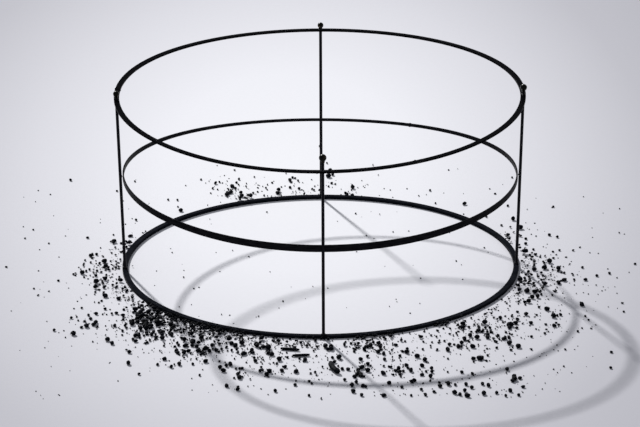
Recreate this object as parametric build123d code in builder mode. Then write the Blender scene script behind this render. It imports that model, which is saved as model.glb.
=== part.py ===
from build123d import *

import os
from math import cos, degrees, hypot, pi, radians, sin, tan
from random import Random

# Magnetic desk sculpture: an open drum of three black steel bands on four ball-headed pins,
# standing in a bed of loose iron filings that gather round its magnetised bottom band.
# Millimetres, +Z up. The origin is the centre of the bottom band, on the desk. The front is -Y.

# Pins: straight wire, splayed slightly outwards, each trimmed at its foot.
PIN_LENGTH = 50.3  # the longest, from the foot to the crown of the ball head, along the pin
PIN_DIAMETER = 0.8
PIN_SPLAY = 1.85  # degrees outwards from the vertical
PIN_FOOT_LIFT = 0.05  # the foot ends this far above the desk, inside the bottom band
PIN_FOOT_RADIUS = 51.0  # from the drum's axis to the pin's foot
HOLE_CLEARANCE = 0.02  # radial, round a pin in a band, a solder joint or a head

# Each pin's azimuth in degrees, how much it is trimmed, and the diameter of its ball head.
PINS = {
    "front": (270.7, 0.3, 1.95),
    "right": (359.0, 0.0, 1.8),
    "back": (89.7, 0.95, 1.6),
    "left": (183.0, 0.7, 1.6),
}

# Ball heads: a bead with a short conical neck, on the pin's upper end.
NECK_WIDTH = 1.15
NECK_SHOULDER = 0.8  # the neck's width where it runs into the bead, as a share of the bead's
NECK_LENGTH = 0.25  # below the bead
SOCKET_DEPTH = 0.25  # past the bead's centre

# Bands: strip bent into rings, each closed by a soldered butt seam. The upper two were soldered
# on by hand: they tilt, and their left and right sides ride higher than their front and back.
TOP_DROP = 4.03  # from the crown of the longest pin down to the top band on the drum's axis
TOP_WALL = 1.4
TOP_WIDTH = 0.45
TOP_PITCH = 1.06  # degrees, back edge high
TOP_RISE = 1.08  # of the left and right sides
MIDDLE_HEIGHT = 23.3
MIDDLE_WALL = 0.35
MIDDLE_FRONT_WIDTH = 1.85
MIDDLE_BACK_WIDTH = 0.75
MIDDLE_PITCH = -1.02  # degrees, front edge high
MIDDLE_ROLL = 0.35  # degrees, left edge high
MIDDLE_RISE = 2.44
MIDDLE_STANDOFF = 0.1  # between the band and the pins it is soldered inside
BOTTOM_WALL = 1.4
BOTTOM_WIDTH = 0.8
SEAM_GAP = 0.5
SEAM_PROUD = 0.08  # the solder stands this far out of the strip
SEAM_AZIMUTHS = {"top": 175.0, "middle": 62.0, "bottom": 112.0}

# Solder joints: a small flattened bead where a band meets a pin, square to the pin.
SOLDER_RADIUS = 0.8
SOLDER_HALF_HEIGHT = 0.6  # along the pin
BRIDGE_RADIUS = 0.5  # at the middle band, in the corner between strip and pin

# Loose iron filings. Each heap lies outside the bottom band round one azimuth. Its values are
# the azimuth and its spread in degrees, its reach out from the band, and its number of grains.
HEAPS = {
    "left": (183.0, 7.0, 10.0, 50),
    "front_left": (224.0, 15.0, 18.0, 104),
    "front": (258.0, 9.0, 20.0, 50),
    "front_right": (290.0, 12.0, 34.0, 74),
    "right_front": (318.0, 12.0, 34.0, 64),
    "right": (355.0, 11.0, 15.0, 56),
    "back": (92.0, 10.0, 10.0, 30),
    "back_left": (112.0, 7.0, 20.0, 40),
}
SCATTER_COUNT = 70
SCATTER_REACH_X = 82.0  # from the drum's axis to the outermost lone grains
SCATTER_REACH_Y = 92.0
COARSE_COUNT = 14
COARSE_DRIFT = (2.0, 9.0)  # from the bottom band to the coarse grains that lie all round it
FINE_LENGTH = (0.45, 1.1)
COARSE_LENGTH = (1.35, 1.7)
GRAIN_WIDTH = (0.55, 0.95)  # as a share of the grain's length
FINE_HEIGHT = 0.3
COARSE_HEIGHT = 0.9
GRAIN_TAPER = 12.0  # degrees
GRAIN_SIDES = 6
GRAIN_GAP = 0.12  # least room between two grains
BAND_GAP = 0.5  # least room between a grain and the bottom band
FALLOFF = 2.0  # higher packs the grains closer to the band
GRAIN_SEED = 41

os.makedirs("parts", exist_ok=True)


def save(part, name):
    part.label = name
    export_step(part, f"parts/{name}.step")


def pin_radius(height):
    """Distance from the drum's axis to a pin's axis at a height above the desk."""
    return PIN_FOOT_RADIUS + height * tan(radians(PIN_SPLAY))


def pin_plane(azimuth, along=0.0):
    """Plane square to a pin at a distance along it, with X tangent to the bands."""
    angle = radians(azimuth)
    outward = Vector(cos(angle), sin(angle), 0)
    axis = outward * sin(radians(PIN_SPLAY)) + Vector(0, 0, cos(radians(PIN_SPLAY)))
    foot = outward * PIN_FOOT_RADIUS
    return Plane(origin=foot + axis * along, x_dir=Vector(-sin(angle), cos(angle), 0), z_dir=axis)


def pin_reach(height):
    """Distance along a pin from its foot to a height above the desk."""
    return height / cos(radians(PIN_SPLAY))


def band_height(level, azimuth):
    """Height of a band's middle where it passes an azimuth."""
    angle = radians(azimuth)
    across, along = radii[level] * cos(angle), radii[level] * sin(angle)
    height, pitch, roll, rise = lies[level]
    return height + along * tan(radians(pitch)) - across * tan(radians(roll)) + rise * cos(angle) ** 2


def band_slab(level, proud=0.0):
    """Everything between a band's lower and upper edge, each a sheet that rises to the sides."""
    height, pitch, roll, rise = lies[level]
    front, back = widths[level]
    wedge = degrees((front - back) / (2 * radii[level])) / 2
    reach = radii[level] + walls[level]
    drop = (front + back) / 4 + proud
    sheets = [(drop, pitch - wedge, Mode.ADD), (-drop, pitch + wedge, Mode.SUBTRACT)]
    with BuildPart() as slab:
        for lift, tilt, mode in sheets:
            base = Plane.XY.offset(height + lift).rotated((tilt, roll, 0))
            edge = rise * (reach / radii[level]) ** 2
            with BuildSketch(Plane(origin=base.origin, x_dir=base.x_dir, z_dir=-base.y_dir)):
                with BuildLine():
                    Spline((-reach, edge), (0, 0), (reach, edge))
                    Polyline((-reach, edge), (-reach, -reach), (reach, -reach), (reach, edge))
                make_face()
            extrude(amount=reach, both=True, mode=mode)
    return slab.part


def seam_location(level):
    angle = radians(SEAM_AZIMUTHS[level])
    place = Vector(cos(angle), sin(angle), 0) * radii[level]
    return Plane(origin=place, x_dir=Vector(-sin(angle), cos(angle), 0)).location


# Bands. The upper two lie between sheets, the bottom one is flat on the desk.
top_height = PIN_LENGTH * cos(radians(PIN_SPLAY)) - TOP_DROP
middle_inset = PIN_DIAMETER / 2 + MIDDLE_STANDOFF + MIDDLE_WALL / 2
radii = {
    "top": pin_radius(top_height),
    "middle": pin_radius(MIDDLE_HEIGHT) - middle_inset,
    "bottom": PIN_FOOT_RADIUS,
}
walls = {"top": TOP_WALL, "middle": MIDDLE_WALL, "bottom": BOTTOM_WALL}
widths = {"top": (TOP_WIDTH, TOP_WIDTH), "middle": (MIDDLE_FRONT_WIDTH, MIDDLE_BACK_WIDTH)}
lies = {
    "top": (top_height, TOP_PITCH, 0.0, TOP_RISE),
    "middle": (MIDDLE_HEIGHT, MIDDLE_PITCH, MIDDLE_ROLL, MIDDLE_RISE),
}
band_parts = {}
for level, radius in radii.items():
    slab = band_slab(level) if level in lies else None
    proud_slab = band_slab(level, SEAM_PROUD) if level in lies else None
    with BuildPart() as band:
        with BuildSketch():
            Circle(radius + walls[level] / 2)
            Circle(radius - walls[level] / 2, mode=Mode.SUBTRACT)
        extrude(amount=PIN_LENGTH if slab else BOTTOM_WIDTH)
        if slab:
            add(slab, mode=Mode.INTERSECT)
        with Locations(seam_location(level)):
            Box(SEAM_GAP, 2 * walls[level], 2 * PIN_LENGTH, mode=Mode.SUBTRACT)
        for azimuth, *_ in PINS.values():
            with BuildSketch(pin_plane(azimuth, -PIN_DIAMETER)):
                Circle(PIN_DIAMETER / 2 + HOLE_CLEARANCE)
            extrude(amount=PIN_LENGTH, mode=Mode.SUBTRACT)
    band_parts[level] = band.part
    save(band.part, f"{level}_band")

    with BuildPart() as seam:
        with Locations(seam_location(level)):
            Box(
                SEAM_GAP,
                walls[level] + 2 * SEAM_PROUD,
                PIN_LENGTH if slab else BOTTOM_WIDTH + SEAM_PROUD,
                align=(Align.CENTER, Align.CENTER, Align.MIN),
            )
        if slab:
            add(proud_slab, mode=Mode.INTERSECT)
    save(seam.part, f"{level}_seam")

# Pins and their ball heads.
head_parts = {}
for side, (azimuth, trim, head_diameter) in PINS.items():
    head_centre = PIN_LENGTH - trim - head_diameter / 2
    with BuildPart() as pin:
        with BuildSketch(pin_plane(azimuth, PIN_FOOT_LIFT)):
            Circle(PIN_DIAMETER / 2)
        extrude(amount=head_centre - PIN_FOOT_LIFT)
    save(pin.part, f"{side}_pin")

    with BuildPart(pin_plane(azimuth, head_centre)) as head:
        Sphere(head_diameter / 2)
        Cone(
            NECK_WIDTH / 2,
            NECK_SHOULDER * head_diameter / 2,
            head_diameter / 2 + NECK_LENGTH,
            align=(Align.CENTER, Align.CENTER, Align.MAX),
        )
        with Locations((0, 0, SOCKET_DEPTH)):
            Cylinder(
                PIN_DIAMETER / 2 + HOLE_CLEARANCE,
                head_diameter + NECK_LENGTH,
                align=(Align.CENTER, Align.CENTER, Align.MAX),
                mode=Mode.SUBTRACT,
            )
    head_parts[side] = head.part
    save(head.part, f"{side}_head")

# Solder joints: beads round the pins at the top and bottom bands, and small bridges from the
# pins to the middle band, which passes just inside them.
for side, (azimuth, *_) in PINS.items():
    joints = {
        "top": (band_height("top", azimuth), 0.0, SOLDER_RADIUS),
        "middle": (band_height("middle", azimuth), middle_inset - BRIDGE_RADIUS, BRIDGE_RADIUS),
        "bottom": (BOTTOM_WIDTH, 0.0, SOLDER_RADIUS),
    }
    for level, (height, inset, bead_radius) in joints.items():
        square = pin_plane(azimuth, pin_reach(height))
        with BuildPart() as solder:
            with Locations(square.location * Location((0, inset, 0))):
                Sphere(bead_radius)
            split(bisect_by=square.offset(SOLDER_HALF_HEIGHT), keep=Keep.BOTTOM)
            split(bisect_by=square.offset(-SOLDER_HALF_HEIGHT), keep=Keep.TOP)
            with Locations(square.location):
                Cylinder(PIN_DIAMETER / 2 + HOLE_CLEARANCE, 4 * SOLDER_RADIUS, mode=Mode.SUBTRACT)
            add(band_parts[level], mode=Mode.SUBTRACT)
            if level == "top":
                add(head_parts[side], mode=Mode.SUBTRACT)
        save(solder.part, f"{level}_solder_{side}")


def heap_spot(rng, azimuth, spread, reach):
    """A place in a heap, likelier close to the band and to the heap's azimuth."""
    angle = radians(rng.gauss(azimuth, spread))
    radius = PIN_FOOT_RADIUS + BOTTOM_WALL / 2 + BAND_GAP + reach * rng.random() ** FALLOFF
    return radius * cos(angle), radius * sin(angle)


def scatter_spot(rng):
    """A place anywhere between the band and the outermost grains, likelier close to the band."""
    angle = rng.uniform(0, 2 * pi)
    near = PIN_FOOT_RADIUS + BOTTOM_WALL / 2
    share = rng.random() ** FALLOFF
    reach_x = near + (SCATTER_REACH_X - near) * share
    reach_y = near + (SCATTER_REACH_Y - near) * share
    return reach_x * cos(angle), reach_y * sin(angle)


def coarse_spot(rng, number):
    """A place beside the band, in one of equal sectors all round it."""
    angle = 2 * pi * (number + rng.uniform(-0.3, 0.3)) / COARSE_COUNT
    radius = PIN_FOOT_RADIUS + BOTTOM_WALL / 2 + COARSE_LENGTH[1] / 2 + rng.uniform(*COARSE_DRIFT)
    return radius * cos(angle), radius * sin(angle)


def settle(rng, spot, length, grains):
    """Draws spots until a grain of this length lies clear of the band and of its neighbours."""
    while True:
        x, y = spot(rng)
        clear = hypot(x, y) - length / 2 - BAND_GAP > PIN_FOOT_RADIUS + BOTTOM_WALL / 2
        if clear and all(
            hypot(x - other_x, y - other_y) > (length + other_length) / 2 + GRAIN_GAP
            for other_x, other_y, other_length in grains
        ):
            grains.append((x, y, length))
            return


def grain_corners(rng, length):
    """Corners on a small ellipse, so that the grain is convex."""
    width = length * rng.uniform(*GRAIN_WIDTH)
    steps = [(side + rng.uniform(-0.3, 0.3)) * 2 * pi / GRAIN_SIDES for side in range(GRAIN_SIDES)]
    return [(length / 2 * cos(step), width / 2 * sin(step)) for step in steps]


# Filings: places first, so that no two grains of any node meet.
rng = Random(GRAIN_SEED)
all_grains = []
last_grain = {}
for number in range(COARSE_COUNT):
    settle(rng, lambda rng, number=number: coarse_spot(rng, number), rng.uniform(*COARSE_LENGTH), all_grains)
last_grain["coarse"] = len(all_grains)
outermost = [(SCATTER_REACH_X, 0), (-SCATTER_REACH_X, 0), (0, SCATTER_REACH_Y), (0, -SCATTER_REACH_Y)]
for spot in outermost:
    settle(rng, lambda rng, spot=spot: spot, FINE_LENGTH[1], all_grains)
for number in range(SCATTER_COUNT):
    settle(rng, scatter_spot, rng.uniform(*FINE_LENGTH), all_grains)
last_grain["scatter"] = len(all_grains)
for heap, (azimuth, spread, reach, count) in HEAPS.items():
    for number in range(count):
        settle(
            rng,
            lambda rng: heap_spot(rng, azimuth, spread, reach),
            rng.uniform(*FINE_LENGTH),
            all_grains,
        )
    last_grain[heap] = len(all_grains)

# Each grain is a tapered prism, flat on the desk.
first = 0
for heap, last in last_grain.items():
    with BuildPart() as filings:
        with BuildSketch():
            for x, y, length in all_grains[first:last]:
                with Locations((x, y)):
                    Polygon(*grain_corners(rng, length), rotation=rng.uniform(0, 180), align=None)
        extrude(amount=COARSE_HEIGHT if heap == "coarse" else FINE_HEIGHT, taper=GRAIN_TAPER)
    save(filings.part, f"filings_{heap}")
    first = last
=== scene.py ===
import random
from math import cos, exp, hypot, pi, radians, sin, sqrt

import bmesh
import bpy
from mathutils import Matrix, Vector, noise


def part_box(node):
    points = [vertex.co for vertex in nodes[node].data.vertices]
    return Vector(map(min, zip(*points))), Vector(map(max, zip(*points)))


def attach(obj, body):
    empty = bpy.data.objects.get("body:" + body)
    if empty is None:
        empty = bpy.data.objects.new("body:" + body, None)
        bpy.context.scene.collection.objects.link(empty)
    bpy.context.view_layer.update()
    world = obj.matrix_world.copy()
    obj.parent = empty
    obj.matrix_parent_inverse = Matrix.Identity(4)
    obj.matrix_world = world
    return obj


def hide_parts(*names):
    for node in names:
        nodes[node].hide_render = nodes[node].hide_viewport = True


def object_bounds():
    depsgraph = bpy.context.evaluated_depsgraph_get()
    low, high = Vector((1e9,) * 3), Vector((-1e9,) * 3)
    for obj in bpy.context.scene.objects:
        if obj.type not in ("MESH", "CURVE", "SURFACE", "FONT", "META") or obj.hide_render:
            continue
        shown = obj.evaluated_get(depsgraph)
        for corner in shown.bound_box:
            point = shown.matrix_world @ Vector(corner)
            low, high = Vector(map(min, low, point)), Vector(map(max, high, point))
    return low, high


# Magnetic desk sculpture: the finish of the bands, pins, heads and solder, and the iron filings.
# Metres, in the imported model's frame: +Z up, the front at -Y, the desk at z = 0.

MM = 0.001
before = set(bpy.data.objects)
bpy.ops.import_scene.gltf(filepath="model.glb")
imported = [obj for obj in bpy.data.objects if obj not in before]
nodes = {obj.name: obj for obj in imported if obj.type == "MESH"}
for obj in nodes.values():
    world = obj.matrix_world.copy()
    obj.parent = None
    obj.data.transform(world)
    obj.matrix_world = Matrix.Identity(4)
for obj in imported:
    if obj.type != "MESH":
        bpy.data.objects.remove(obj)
cad_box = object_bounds()
CENTRE = Vector((0, 0, 0))


def half_size(node):
    low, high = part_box(node)
    return (high - low) / 2


# ---------------------------------------------------------------- materials

def new_material(name):
    material = bpy.data.materials.new(name)
    material.use_nodes = True
    tree = material.node_tree
    shader = tree.nodes["Principled BSDF"]
    return material, tree, shader


def add_node(tree, kind, inputs=None, **settings):
    node = tree.nodes.new(kind)
    for key, value in settings.items():
        setattr(node, key, value)
    for key, value in (inputs or {}).items():
        if isinstance(value, bpy.types.NodeSocket):
            tree.links.new(value, node.inputs[key])
        else:
            node.inputs[key].default_value = value
    return node


def object_coordinates(tree):
    return add_node(tree, "ShaderNodeTexCoord").outputs["Object"]


def mottle(tree, scale, detail=3.0, stretch=(1, 1, 1)):
    """A noise pattern fixed to the object; scale is in waves per metre."""
    mapping = add_node(tree, "ShaderNodeMapping", {"Vector": object_coordinates(tree), "Scale": stretch})
    texture = add_node(
        tree, "ShaderNodeTexNoise", {"Vector": mapping.outputs[0], "Scale": scale, "Detail": detail}
    )
    return texture.outputs["Fac"]


def ramp(tree, factor, stops):
    """A colour ramp through (position, colour) stops."""
    node = add_node(tree, "ShaderNodeValToRGB", {"Fac": factor})
    elements = node.color_ramp.elements
    while len(elements) < len(stops):
        elements.new(0.5)
    for element, (position, colour) in zip(elements, stops):
        element.position = position
        element.color = (*colour, 1)
    return node.outputs["Color"]


def spread(tree, factor, low, high):
    """Maps a 0 to 1 pattern onto a range of a shader's own numbers."""
    node = add_node(tree, "ShaderNodeMapRange", {"Value": factor, "To Min": low, "To Max": high})
    return node.outputs["Result"]


def bump(tree, shader, height, distance, strength=1.0):
    node = add_node(tree, "ShaderNodeBump", {"Height": height, "Distance": distance, "Strength": strength})
    tree.links.new(node.outputs["Normal"], shader.inputs["Normal"])


def black_lacquer(name, dark, light, roughness, specular, streaks=1.0):
    """Black paint on metal, uneven in tone, gloss and surface; streaks draws the marks out level."""
    material, tree, shader = new_material(name)
    patches = mottle(tree, 420, 4.0, (1, 1, streaks))
    tree.links.new(ramp(tree, patches, [(0.32, dark), (0.72, light)]), shader.inputs["Base Color"])
    gloss = spread(tree, mottle(tree, 700), roughness, roughness + 0.14)
    tree.links.new(gloss, shader.inputs["Roughness"])
    shader.inputs["Specular IOR Level"].default_value = specular
    bump(tree, shader, mottle(tree, 900, 4.0, (1, 1, streaks)), 0.015 * MM, 0.4)
    return material


def aged_brass():
    """Brass gone nearly black, with the pale metal showing where it has been rubbed."""
    material, tree, shader = new_material("aged_brass")
    patches = mottle(tree, 900, 4.0)
    stops = [(0.54, (0.004, 0.004, 0.003)), (0.66, (0.03, 0.022, 0.012)), (0.78, (0.36, 0.27, 0.12))]
    tree.links.new(ramp(tree, patches, stops), shader.inputs["Base Color"])
    tree.links.new(spread(tree, patches, 0.24, 0.36), shader.inputs["Roughness"])
    shader.inputs["Metallic"].default_value = 0.85
    bump(tree, shader, mottle(tree, 2500), 0.04 * MM, 0.5)
    return material


def solder_with_painted_glints():
    """Solder blackened with the frame, with painted glints: bright in small spots."""
    material, tree, shader = new_material("solder_with_painted_glints")
    patches = mottle(tree, 1500, 2.0)
    # The pale last stop paints glints into the colour: small bright spots, placed by the noise, standing
    # in for highlights.
    stops = [(0.60, (0.008, 0.008, 0.011)), (0.68, (0.10, 0.10, 0.11)), (0.72, (0.75, 0.76, 0.78))]
    tree.links.new(ramp(tree, patches, stops), shader.inputs["Base Color"])
    tree.links.new(spread(tree, patches, 0.42, 0.2), shader.inputs["Roughness"])
    shader.inputs["Metallic"].default_value = 0.7
    bump(tree, shader, mottle(tree, 1800), 0.05 * MM, 0.6)
    return material


def iron_grain():
    """Broken iron: matt black faces with a faint blue-grey cast on some."""
    material, tree, shader = new_material("iron_grain")
    patches = mottle(tree, 800, 5.0)
    colour = ramp(tree, patches, [(0.35, (0.002, 0.003, 0.005)), (0.7, (0.007, 0.008, 0.013))])
    tree.links.new(colour, shader.inputs["Base Color"])
    tree.links.new(spread(tree, mottle(tree, 3000), 0.5, 0.8), shader.inputs["Roughness"])
    shader.inputs["Metallic"].default_value = 0.05
    shader.inputs["Specular IOR Level"].default_value = 0.03
    bump(tree, shader, mottle(tree, 5000), 0.05 * MM, 0.6)
    return material


# A pool of light painted on the desk: the colour is palest at one spot and darkens away from it, as
# painted fall-off of light. A distance of 1 in its own scale is where the painted tone reaches the last
# stop.
LIGHT_POOL_SCALE = (7.35, 3.2, 1)
LIGHT_POOL_SHIFT = (0.066, -0.24, 0)
LIGHT_POOL_TONES = [
    (0.0, (0.822, 0.833, 0.878)),
    (0.25, (0.782, 0.790, 0.845)),
    (0.5, (0.638, 0.642, 0.697)),
    (0.75, (0.468, 0.470, 0.520)),
    (1.0, (0.400, 0.402, 0.450)),
]
DESK_GRAIN = [(0.3, (0.985, 0.985, 0.985)), (0.7, (1, 1, 1))]


def desk_with_painted_light_pool():
    """Matt bluish white, with a painted pool of light: greyer and bluer away from a pale spot under the
    sculpture.
    """
    material, tree, shader = new_material("desk_with_painted_light_pool")
    place = add_node(
        tree,
        "ShaderNodeMapping",
        {"Vector": object_coordinates(tree), "Location": LIGHT_POOL_SHIFT, "Scale": LIGHT_POOL_SCALE},
    )
    distance = add_node(tree, "ShaderNodeVectorMath", {0: place.outputs[0]}, operation="LENGTH")
    # Painted light: the colour darkens with distance from the pale spot, standing in for the lamp's
    # fall-off.
    painted_light_pool = ramp(tree, distance.outputs["Value"], LIGHT_POOL_TONES)
    grain = ramp(tree, mottle(tree, 900, 3.0), DESK_GRAIN)
    # A Mix node's inputs 6 and 7 are its two colours, and its output 2 is the mixed colour.
    mix = add_node(tree, "ShaderNodeMix", data_type="RGBA", blend_type="MULTIPLY")
    mix.inputs[0].default_value = 1.0
    tree.links.new(painted_light_pool, mix.inputs[6])
    tree.links.new(grain, mix.inputs[7])
    tree.links.new(mix.outputs[2], shader.inputs["Base Color"])
    shader.inputs["Roughness"].default_value = 0.7
    shader.inputs["Specular IOR Level"].default_value = 0.1
    return material


TOP_BLACK = black_lacquer("top_band_lacquer", (0.001, 0.001, 0.002), (0.003, 0.003, 0.004), 0.2, 0.004)
# The middle band's light stop, drawn out into level streaks, is painted sheen: lighter lines in the colour
# that stand in for highlights along the strip's front face.
STRIP_BLACK_AND_SHEEN = black_lacquer(
    "middle_band_lacquer_and_painted_sheen", (0.001, 0.001, 0.002), (0.017, 0.017, 0.020), 0.3, 0.008, streaks=16
)
BASE_BLACK = black_lacquer(
    "bottom_band_lacquer", (0.003, 0.004, 0.006), (0.009, 0.010, 0.015), 0.2, 0.004, streaks=5
)
WIRE_BLACK = black_lacquer("blackened_wire", (0.003, 0.003, 0.005), (0.007, 0.007, 0.011), 0.24, 0.06)
BRASS = aged_brass()
SOLDER = solder_with_painted_glints()
IRON = iron_grain()
FINISHES = {
    "top_band": TOP_BLACK,
    "top_seam": TOP_BLACK,
    "middle_band": STRIP_BLACK_AND_SHEEN,
    "middle_seam": STRIP_BLACK_AND_SHEEN,
    "bottom_band": BASE_BLACK,
    "bottom_seam": BASE_BLACK,
    "_pin": WIRE_BLACK,
    "_head": BRASS,
    "_solder": SOLDER,
}


def finish_cad_nodes():
    for name, node in nodes.items():
        for part, material in FINISHES.items():
            if part in name:
                node.data.materials.clear()
                node.data.materials.append(material)
                break


# ---------------------------------------------------------------- meshes

def joined(parts):
    """One list of vertices and one of faces, from the vertices and faces of each part."""
    vertices, faces = [], []
    for part_vertices, part_faces in parts:
        start = len(vertices)
        vertices += part_vertices
        faces += [[start + index for index in face] for face in part_faces]
    return vertices, faces


def tube_faces(rings, sides):
    """Faces of a closed tube whose vertices come ring by ring."""
    faces = []
    for ring in range(rings - 1):
        base = ring * sides
        for step in range(sides):
            after = (step + 1) % sides
            faces.append([base + step, base + after, base + sides + after, base + sides + step])
    last = (rings - 1) * sides
    faces.append(list(reversed(range(sides))))
    faces.append([last + step for step in range(sides)])
    return faces


def add_piece(name, vertices, faces, material, smooth=False):
    mesh = bpy.data.meshes.new(name)
    mesh.from_pydata(vertices, [], faces)
    mesh.materials.append(material)
    if smooth:
        mesh.polygons.foreach_set("use_smooth", [True] * len(mesh.polygons))
    piece = bpy.data.objects.new(name, mesh)
    bpy.context.scene.collection.objects.link(piece)
    return piece


# ---------------------------------------------------------------- heads and solder beads

HEAD_SEGMENTS = 40
HEAD_ROUGHNESS = 0.03  # the most that the surface falls in, as a share of the head's size
SOLDER_SEGMENTS = 28
SOLDER_ROUGHNESS = 0.16
SOLDER_SQUARENESS = 0.75  # under 1, a blob is boxier than a ball
SOLDER_SLIM = 0.86  # a blob's size, as a share of the CAD joint's
DENT_SCALE = 1.6  # how closely the dents in a ball's surface follow each other
DENT_SHIFT = (3.1, 1.7, 2.3)  # takes each ball to dents of its own
PIN_LEAN = 0.032  # outward run of a pin for each unit of height
NECK_STEPS = 3
NECK_WIDTH = 0.54  # half width where the neck leaves the pin, as a share of the head's
NECK_FLARE = 0.2  # how much wider the neck is at its top
NECK_TOP = 0.42  # how far below the head's centre the neck ends


def rounded(centre, half, segments, unevenness, seed, squareness=1.0):
    """Vertices and faces of an uneven ball that fills a box, with its poles up and down."""
    rings = segments // 2
    offset = Vector([seed * shift for shift in DENT_SHIFT])
    vertices = []
    for ring in range(rings + 1):
        lift = -cos(pi * ring / rings)
        around = sqrt(max(1 - lift * lift, 0)) ** squareness
        for step in range(segments if 0 < ring < rings else 1):
            turn = 2 * pi * step / segments
            unit = Vector((around * cos(turn), around * sin(turn), lift))
            swell = 1 - unevenness * (0.5 + 0.5 * noise.noise(unit * DENT_SCALE + offset))
            vertices.append(centre + Vector([unit[axis] * half[axis] * swell for axis in range(3)]))

    def first(ring):
        return 1 + (ring - 1) * segments

    faces = []
    for step in range(segments):
        after = (step + 1) % segments
        faces.append((0, first(1) + after, first(1) + step))
        for ring in range(1, rings - 1):
            low, high = first(ring), first(ring + 1)
            faces.append((low + step, low + after, high + after, high + step))
        low = first(rings - 1)
        faces.append((low + step, low + after, len(vertices) - 1))
    return vertices, faces


def neck(centre, across, bottom):
    """Vertices and faces of a head's neck, which widens from the pin up into the ball."""
    lean = Vector((centre.x, centre.y, 0)).normalized() * (centre.z - bottom) * PIN_LEAN
    foot = Vector((centre.x, centre.y, bottom)) - lean
    top = Vector((centre.x, centre.y, centre.z - across * NECK_TOP))
    vertices = []
    for level in range(NECK_STEPS + 1):
        share = level / NECK_STEPS
        width = across * (NECK_WIDTH + NECK_FLARE * share * share)
        for step in range(HEAD_SEGMENTS):
            turn = 2 * pi * step / HEAD_SEGMENTS
            vertices.append(foot.lerp(top, share) + Vector((cos(turn), sin(turn), 0)) * width)
    return vertices, tube_faces(NECK_STEPS + 1, HEAD_SEGMENTS)


def build_heads():
    """Each ball head: a slightly uneven bead on a tapering neck."""
    for seed, node in enumerate(sorted(name for name in nodes if name.endswith("_head"))):
        low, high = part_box(node)
        across = (high.x - low.x + high.y - low.y) / 4
        half = Vector((across, across, across))
        centre = Vector(((low.x + high.x) / 2, (low.y + high.y) / 2, high.z - across))
        bead = rounded(centre, half, HEAD_SEGMENTS, HEAD_ROUGHNESS, seed)
        vertices, faces = joined([bead, neck(centre, across, low.z)])
        piece = add_piece(node.replace("head", "bead"), vertices, faces, BRASS, smooth=True)
        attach(piece, "frame")
        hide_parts(node)


def build_solder():
    """Each solder joint: a smooth lopsided blob over the place where band and pin meet."""
    for seed, node in enumerate(sorted(name for name in nodes if "_solder_" in name)):
        low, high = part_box(node)
        half = (high - low) / 2 * SOLDER_SLIM
        vertices, faces = rounded(
            (low + high) / 2, half, SOLDER_SEGMENTS, SOLDER_ROUGHNESS, seed, SOLDER_SQUARENESS
        )
        piece = add_piece(node.replace("solder", "blob"), vertices, faces, SOLDER, smooth=True)
        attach(piece, "frame")
        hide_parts(node)


# ---------------------------------------------------------------- the shapes of iron grains

SHAPE_SEED = 7
ANGULAR_SHAPES = 20
ROUND_SHAPES = 16
LUMP_SCALE = 2.6  # how closely the lumps on a grain follow each other
LUMP_FIELD = 9  # how far from the noise pattern's origin a grain's lumps are taken, on each axis
WIDEST = 0.95  # the most that a grain keeps of the ball's width, and of its height
HIGHEST = 0.9
FLAT_FOOT = 0.8  # the share of a grain's depth below its centre that is kept; the rest is flattened
FINE = (0.22 * MM, 0.55 * MM)
MEDIUM = (0.6 * MM, 1.05 * MM)
LARGE = (1.15 * MM, 1.7 * MM)
TURN_SPREAD = 0.5  # radians, how loosely the grains line up


def grain_shape(rng, detail, squat, lumps):
    """One irregular grain of unit length, resting on z = 0: its corners and faces."""
    mesh = bmesh.new()
    bmesh.ops.create_icosphere(mesh, subdivisions=detail, radius=0.5)
    offset = Vector([rng.uniform(-LUMP_FIELD, LUMP_FIELD) for _ in range(3)])
    wide = rng.uniform(squat, WIDEST)
    high = rng.uniform(squat, HIGHEST)
    for vertex in mesh.verts:
        vertex.co *= 1 + lumps * noise.noise(vertex.co * LUMP_SCALE + offset)
        vertex.co = Vector((vertex.co.x, vertex.co.y * wide, vertex.co.z * high))
    floor = min(vertex.co.z for vertex in mesh.verts) * FLAT_FOOT
    for vertex in mesh.verts:
        vertex.co.z = max(vertex.co.z, floor) - floor
    reach = max(Vector((vertex.co.x, vertex.co.y)).length for vertex in mesh.verts)
    corners = [vertex.co / (2 * reach) for vertex in mesh.verts]
    faces = [[vertex.index for vertex in face.verts] for face in mesh.faces]
    mesh.free()
    return corners, faces


def grain_points(grain, shapes):
    """Vertices and faces of one grain: place, length, turn, tilt, stretch and shape number."""
    place, length, turn, tilt, stretch, number = grain
    corners, faces = shapes[number]
    rotation = Matrix.Rotation(turn, 3, "Z") @ Matrix.Rotation(-tilt, 3, "Y")
    narrow = 1 / sqrt(stretch)
    points = [
        rotation @ Vector((corner.x, corner.y * narrow / stretch, corner.z * narrow)) * length + place
        for corner in corners
    ]
    sunk = min(min(point.z for point in points), 0)  # a grain tilted into the desk is raised onto it
    return [(point.x, point.y, point.z - sunk) for point in points], faces


def lying(rng, place, length, stretch=1.0, tilt=0.0):
    """A grain at a place, its long side roughly along the line out from the drum."""
    out = Vector((place.x, place.y))
    azimuth = out.angle_signed(Vector((1, 0))) if out.length else 0
    turn = azimuth + rng.gauss(0, TURN_SPREAD)
    number = rng.randrange(ANGULAR_SHAPES)
    if length > MEDIUM[0]:
        number = ANGULAR_SHAPES + rng.randrange(ROUND_SHAPES)
    return place, length, turn, tilt, stretch, number


# ---------------------------------------------------------------- places on the desk

BAND_WIDTH = 1.4 * MM  # of the bottom band's strip
BAND_OUTSIDE = half_size("bottom_band").x
BAND_INSIDE = BAND_OUTSIDE - BAND_WIDTH
BAND_GAP = 0.05 * MM
EDGE_MARGIN = 0.9 * MM


def polar(azimuth, radius, height=0.0):
    return Vector((radius * cos(radians(azimuth)), radius * sin(radians(azimuth)), height))


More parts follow.
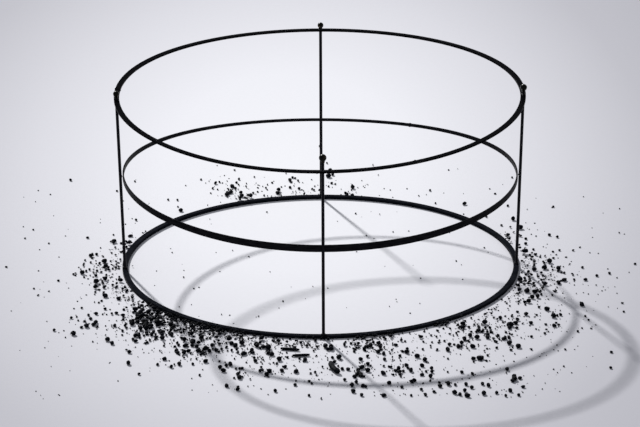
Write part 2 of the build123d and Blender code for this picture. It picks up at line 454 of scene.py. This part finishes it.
def band_degrees(length):
    """The angle that a length along the bottom band takes up, in degrees."""
    return length / BAND_OUTSIDE * 180 / pi


def clear_of_band(place, length):
    distance = hypot(place.x, place.y)
    return distance > BAND_OUTSIDE + length / 2 + BAND_GAP or distance < BAND_INSIDE - length


def within_cad(place):
    """Whether a place is far enough inside the CAD's outer box for a grain to stay in it."""
    low, high = cad_box
    inside_x = low[0] + EDGE_MARGIN < place.x < high[0] - EDGE_MARGIN
    inside_y = low[1] + EDGE_MARGIN < place.y < high[1] - EDGE_MARGIN
    return inside_x and inside_y


# ---------------------------------------------------------------- the long grains in front

BAR_SIDES = 10
BAR_END = 0.75  # width at an end, as a share of the full width
BAR_TAPER = 3  # how much of the full width is gained over the whole length, were it not limited
BAR_UNEVENNESS = (0.94, 1.05)
BAR_SURFACE = (0.93, 1.05)
CLEAR_OF_LONG = 1.7 * MM  # other grains this close would hide a long one's outline


def bent(start, end, sag, count):
    """Points from start to end, bowed sideways by sag."""
    across = Vector((start.y - end.y, end.x - start.x, 0)).normalized()
    points = []
    for step in range(count):
        share = step / (count - 1)
        points.append(start.lerp(end, share) + across * sag * 4 * share * (1 - share))
    return points


# Two straight chips and one bent grain: each is a path on the desk and the radius of the bar along it.
LONG_GRAINS = [
    (bent(polar(260.2, 59.8 * MM), polar(264.8, 60.2 * MM), 0.0, 6), 0.36 * MM),
    (bent(polar(263.6, 64.2 * MM), polar(267.4, 63.4 * MM), 0.0, 6), 0.36 * MM),
    (bent(polar(272.0, 69.6 * MM), polar(273.3, 75.8 * MM), -0.5 * MM, 9), 0.72 * MM),
]


def bar(rng, path, radius):
    """Vertices and faces of an uneven round bar on the desk, narrower at its two flat ends."""
    vertices = []
    for number, point in enumerate(path):
        before, after = path[max(number - 1, 0)], path[min(number + 1, len(path) - 1)]
        along = (after - before).normalized()
        side = Vector((-along.y, along.x, 0))
        share = number / (len(path) - 1)
        taper = min(1, BAR_END + BAR_TAPER * min(share, 1 - share))
        width = radius * taper * rng.uniform(*BAR_UNEVENNESS)
        for step in range(BAR_SIDES):
            turn = 2 * pi * step / BAR_SIDES
            bumpy = width * rng.uniform(*BAR_SURFACE)
            vertices.append(point + side * cos(turn) * bumpy + Vector((0, 0, radius + sin(turn) * bumpy)))
    return vertices, tube_faces(len(path), BAR_SIDES)


def near_long_grain(place):
    return any((place - point).length < CLEAR_OF_LONG for path, radius in LONG_GRAINS for point in path)


# ---------------------------------------------------------------- heaps and strewn grains

# Where the grains lie. Each heap is (azimuth and half width in degrees, how much of the desk it
# hides at the band, and the distance in mm over which it thins out).
HEAPS = {
    "filings_left": [(194, 15, 0.24, 8), (168, 16, 0.16, 5), (181, 5, 0.35, 7)],
    "filings_front_left": [
        (222, 12, 0.62, 16),
        (240, 11, 0.58, 18),
        (224, 12, 0.85, 8),
        (236, 8, 0.4, 8),
    ],
    "filings_front": [(260, 11, 0.32, 24)],
    "filings_front_right": [(283, 13, 0.17, 38)],
    "filings_right_front": [(314, 17, 0.25, 23)],
    "filings_right": [(349, 19, 0.26, 12), (20, 11, 0.25, 5)],
    "filings_back": [(95, 6, 0.12, 12), (84, 8, 0.06, 18)],
    "filings_back_left": [(112, 5, 0.14, 17), (113, 3, 0.30, 13)],
}
HEAP_TAIL = 1.17  # a heap thins out to nothing at this many half widths
HIDDEN_PER_SQUARE = 1.43  # area hidden by a grain of length 1, seen at the low viewing angle
FAR_FROM_BAND = 5 * MM
NEAR_CHANCES = (0.03, 0.30)  # of a large grain, and of a large or medium one
FAR_CHANCES = (0.10, 0.34)
CLUMPED = 0.6  # the share of a heap's grains that lie in clumps
CLUMP_SPREAD = 1.5 * MM
CLUMP_AREA = 6 * MM * MM  # hidden area for each clump
FEWEST_CLUMPS = 4
STACK_HEIGHT = 1.3 * MM
STACK_REACH = 4 * MM  # how far from the band the stacking fades out
STACK_FULL = 0.5  # a heap that hides this much of the desk stacks to the full height
HEAP_STRETCHES = (1, 1, 1, 1.3, 1.8)
MOST_TILT = 0.5  # radians, of a stretched grain

# Small patches that cling to the outside of the bottom band: azimuth in degrees, half length in mm.
PATCHES = [
    (282.5, 2.6),
    (289.5, 1.2),
    (306, 2.4),
    (271.5, 1.6),
    (236, 4.0),
    (226, 4.5),
    (214, 3.0),
    (246, 3.0),
]
PATCH_DENSITY = 17  # grains for each mm of half length
PATCH_LENGTH = (0.3 * MM, 0.7 * MM)
PATCH_THICKNESS = 1.1 * MM  # of the patch, outwards and upwards
PATCH_GAP = 0.06 * MM

INSIDE_COUNT = 60
INSIDE_AREA = (0.02, 0.86)  # where the specks lie, as shares of the desk's area within the band
INSIDE_LENGTH = (0.2 * MM, 0.62 * MM)

STREWN_COUNT = 330
STREWN_BACK = 0.75  # the strewn grains end at this share of the way to the back
STREWN_GAP = 1 * MM
STREWN_REACH = 26 * MM
STREWN_MEDIUM = 0.14  # the share that is medium and not fine
BACK_THINNED = 0.7  # the share left out behind the middle

# The round grains spaced out at the front right: their field on the desk, and how many are tried.
OUTER_FIELD = ((5 * MM, 60 * MM), (-91 * MM, -72 * MM))
OUTER_COUNT = 96
OUTER_LENGTH = (0.9 * MM, 1.6 * MM)


def grain_length(rng, out):
    """A grain's length, by how far out from the band it lies."""
    large, medium = FAR_CHANCES if out > FAR_FROM_BAND else NEAR_CHANCES
    pick = rng.random()
    if pick < large:
        return rng.uniform(*LARGE)
    if pick < medium:
        return rng.uniform(*MEDIUM)
    return rng.uniform(*FINE)


def heap_grains(rng, azimuth, half_angle, hidden, reach):
    """Grains of one heap, drawn until together they hide the given share of the desk."""
    reach *= MM
    arc = radians(2 * half_angle)
    # The share hidden falls off outwards as exp(-(out / reach)^2), and this is its sum over the heap.
    wanted = hidden * arc * (BAND_OUTSIDE * reach * sqrt(pi) / 2 + reach * reach / 2)

    def spot():
        out = reach * abs(rng.gauss(0, sqrt(0.5)))
        return out, azimuth + half_angle * rng.triangular(-HEAP_TAIL, HEAP_TAIL)

    clumps = [spot() for _ in range(max(FEWEST_CLUMPS, round(wanted / CLUMP_AREA)))]
    grains = []
    while wanted > 0:
        out, angle = spot()
        if rng.random() < CLUMPED:
            out, angle = rng.choice(clumps)
            out += rng.gauss(0, CLUMP_SPREAD)
            angle += band_degrees(rng.gauss(0, CLUMP_SPREAD))
        length = grain_length(rng, out)
        fade = exp(-max(out, 0) / STACK_REACH) * min(1, hidden / STACK_FULL)
        height = rng.uniform(0, STACK_HEIGHT) * fade
        place = polar(angle, BAND_OUTSIDE + out + length / 2, height)
        if not clear_of_band(place, length) or not within_cad(place) or near_long_grain(place):
            continue
        stretch = 1 if length > MEDIUM[1] else rng.choice(HEAP_STRETCHES)
        tilt = rng.uniform(0, MOST_TILT) if stretch > 1 else 0
        grains.append(lying(rng, place, length, stretch, tilt))
        wanted -= HIDDEN_PER_SQUARE * length * length / stretch ** 1.5
    return grains


def patch_grains(rng, azimuth, half_length):
    """Fine grains stacked against the outside of the bottom band."""
    grains = []
    for _ in range(round(PATCH_DENSITY * half_length)):
        length = rng.uniform(*PATCH_LENGTH)
        along = rng.uniform(-1, 1)
        angle = azimuth + band_degrees(along * half_length * MM)
        thickness = (1 - along * along) * PATCH_THICKNESS
        out = length / 2 + PATCH_GAP + rng.random() * thickness
        height = rng.random() * thickness
        grains.append(lying(rng, polar(angle, BAND_OUTSIDE + out, height), length))
    return grains


def inside_grains(rng):
    """Sparse specks on the desk within the drum."""
    grains = []
    for _ in range(INSIDE_COUNT):
        place = polar(rng.uniform(0, 360), BAND_INSIDE * sqrt(rng.uniform(*INSIDE_AREA)))
        grains.append(lying(rng, place, rng.uniform(*INSIDE_LENGTH)))
    return grains


def strewn_grains(rng):
    """Specks and single grains on the desk round the drum, fewer farther out and behind it."""
    grains = []
    low, high = cad_box
    while len(grains) < STREWN_COUNT:
        place = Vector((rng.uniform(low[0], high[0]), rng.uniform(low[1], high[1] * STREWN_BACK), 0))
        out = hypot(place.x, place.y) - BAND_OUTSIDE
        if out < STREWN_GAP or not within_cad(place) or rng.random() > exp(-out / STREWN_REACH):
            continue
        if place.y >= 0 and rng.random() < BACK_THINNED:
            continue
        length = rng.uniform(*MEDIUM) if rng.random() < STREWN_MEDIUM else rng.uniform(*FINE)
        grains.append(lying(rng, place, length))
    return grains


def outer_grains(rng):
    """Big round grains spaced out at the front right, with a fine one tried for each of them."""
    grains = []
    for number in range(OUTER_COUNT):
        place = Vector((rng.uniform(*OUTER_FIELD[0]), rng.uniform(*OUTER_FIELD[1]), 0))
        length = rng.uniform(*OUTER_LENGTH) if number % 2 else rng.uniform(*FINE)
        if within_cad(place) and not near_long_grain(place):
            grains.append(lying(rng, place, length))
    return grains


# ---------------------------------------------------------------- the filings pieces

WELD = 0.001 * MM
ON_DESK = 0.01 * MM  # corners lower than this stand on the desk
EXACT_SHARE = 0.97  # a small or coarse grain's shown length, as a share of the CAD grain's
LOOSE_SHARE = 0.8  # the same for the other grains
CAD_STRETCHES = (1, 1, 1.2, 1.5)


def cad_grains(node):
    """Centre and length of each grain of a CAD filings node, from its separate islands."""
    mesh = bmesh.new()
    mesh.from_mesh(nodes[node].data)
    bmesh.ops.remove_doubles(mesh, verts=mesh.verts, dist=WELD)
    todo = set(mesh.verts)
    grains = []
    while todo:
        stack = [todo.pop()]
        island = []
        while stack:
            vertex = stack.pop()
            island.append(vertex.co.copy())
            for edge in vertex.link_edges:
                other = edge.other_vert(vertex)
                if other in todo:
                    todo.remove(other)
                    stack.append(other)
        ground = [corner for corner in island if corner.z < ON_DESK]
        centre = sum(ground, Vector()) / len(ground)
        length = 2 * max((corner - centre).length for corner in ground)
        grains.append((centre, length))
    mesh.free()
    return sorted(grains, key=lambda grain: (round(grain[0].x, 6), round(grain[0].y, 6)))


def grains_on_cad(rng, node):
    """A shown grain at the place of each CAD grain."""
    grains = []
    for centre, length in cad_grains(node):
        exact = node == "filings_coarse" or length < MEDIUM[0]
        shown = length * (EXACT_SHARE if exact else LOOSE_SHARE)
        stretch = rng.choice(CAD_STRETCHES)
        grains.append(lying(rng, centre, shown, stretch))
    return grains


def grains_for(rng, node, patches):
    """Every grain shown for one CAD node."""
    grains = grains_on_cad(rng, node)
    for heap in HEAPS.get(node, []):
        grains += heap_grains(rng, *heap)
    if node == "filings_scatter":
        grains += inside_grains(rng) + strewn_grains(rng) + patches
    if node == "filings_front_right":
        grains += outer_grains(rng)
    return grains


def build_filings():
    rng = random.Random(SHAPE_SEED)
    shapes = [grain_shape(rng, detail=1, squat=0.5, lumps=0.62) for _ in range(ANGULAR_SHAPES)]
    shapes += [grain_shape(rng, detail=2, squat=0.66, lumps=0.3) for _ in range(ROUND_SHAPES)]
    patches = [grain for azimuth, length in PATCHES for grain in patch_grains(rng, azimuth, length)]
    for node in sorted(name for name in nodes if name.startswith("filings_")):
        parts = [grain_points(grain, shapes) for grain in grains_for(rng, node, patches)]
        if node == "filings_front":
            parts += [bar(rng, path, radius) for path, radius in LONG_GRAINS]
        vertices, faces = joined(parts)
        piece = add_piece(node.replace("filings", "grains"), vertices, faces, IRON)
        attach(piece, "filings")
        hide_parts(node)


# ---------------------------------------------------------------- desk, light and camera

DESK_SIZE = 6.0
DESK_DROP = 0.02 * MM  # how far the desk lies below what stands on it
VIEW_ELEVATION = 20.41
VIEW_DISTANCE = 1.5606
VIEW_TARGET = Vector((-0.1 * MM, 0, 14.6 * MM))
VIEW_LENS = 337.5
VIEW_SENSOR = 36.0
VIEW_LIMIT = 50  # metres, the farthest thing the camera sees
VIEW_ROLL = -0.28
LIGHT_ELEVATION = 34.7
LIGHT_HEADING = 112.5  # degrees anticlockwise from +X, where the light comes from
LIGHT_ANGLE = 2.6  # degrees across the lamp, as seen from the desk
LIGHT_STRENGTH = 4.25
LIGHT_COLOUR = (1.0, 0.985, 0.96)
SKY = (0.93, 0.95, 1.0)
SKY_STRENGTH = 0.34


def direction(heading, elevation):
    heading, elevation = radians(heading), radians(elevation)
    return Vector((cos(heading) * cos(elevation), sin(heading) * cos(elevation), sin(elevation)))


def aim(obj, target, roll=0.0):
    toward = target - obj.location
    turn = toward.to_track_quat("-Z", "Y").to_matrix() @ Matrix.Rotation(radians(roll), 3, "Z")
    obj.rotation_euler = turn.to_euler()


def build_stage():
    mesh = bpy.data.meshes.new("desk")
    reach = DESK_SIZE / 2
    corners = [(-reach, -reach, 0), (reach, -reach, 0), (reach, reach, 0), (-reach, reach, 0)]
    mesh.from_pydata(corners, [], [(0, 1, 2, 3)])
    mesh.materials.append(desk_with_painted_light_pool())
    desk = bpy.data.objects.new("desk", mesh)
    bpy.context.scene.collection.objects.link(desk)
    desk.location.z = -DESK_DROP


def build_lights():
    lamp = bpy.data.lights.new("key", "SUN")
    lamp.angle = radians(LIGHT_ANGLE)
    lamp.energy = LIGHT_STRENGTH
    lamp.color = LIGHT_COLOUR
    key = bpy.data.objects.new("key", lamp)
    bpy.context.scene.collection.objects.link(key)
    key.location = direction(LIGHT_HEADING, LIGHT_ELEVATION)
    aim(key, CENTRE)
    world = bpy.data.worlds.new("sky")
    bpy.context.scene.world = world
    world.use_nodes = True
    background = world.node_tree.nodes["Background"]
    background.inputs["Color"].default_value = (*SKY, 1)
    background.inputs["Strength"].default_value = SKY_STRENGTH


def build_camera():
    data = bpy.data.cameras.new("camera")
    data.lens = VIEW_LENS
    data.sensor_width = VIEW_SENSOR
    data.clip_end = VIEW_LIMIT
    camera = bpy.data.objects.new("camera", data)
    bpy.context.scene.collection.objects.link(camera)
    camera.location = VIEW_TARGET + direction(-90, VIEW_ELEVATION) * VIEW_DISTANCE
    aim(camera, VIEW_TARGET, VIEW_ROLL)
    bpy.context.scene.camera = camera


finish_cad_nodes()
build_heads()
build_solder()
build_filings()
build_stage()
build_lights()
build_camera()
bpy.context.scene.view_settings.view_transform = "Standard"
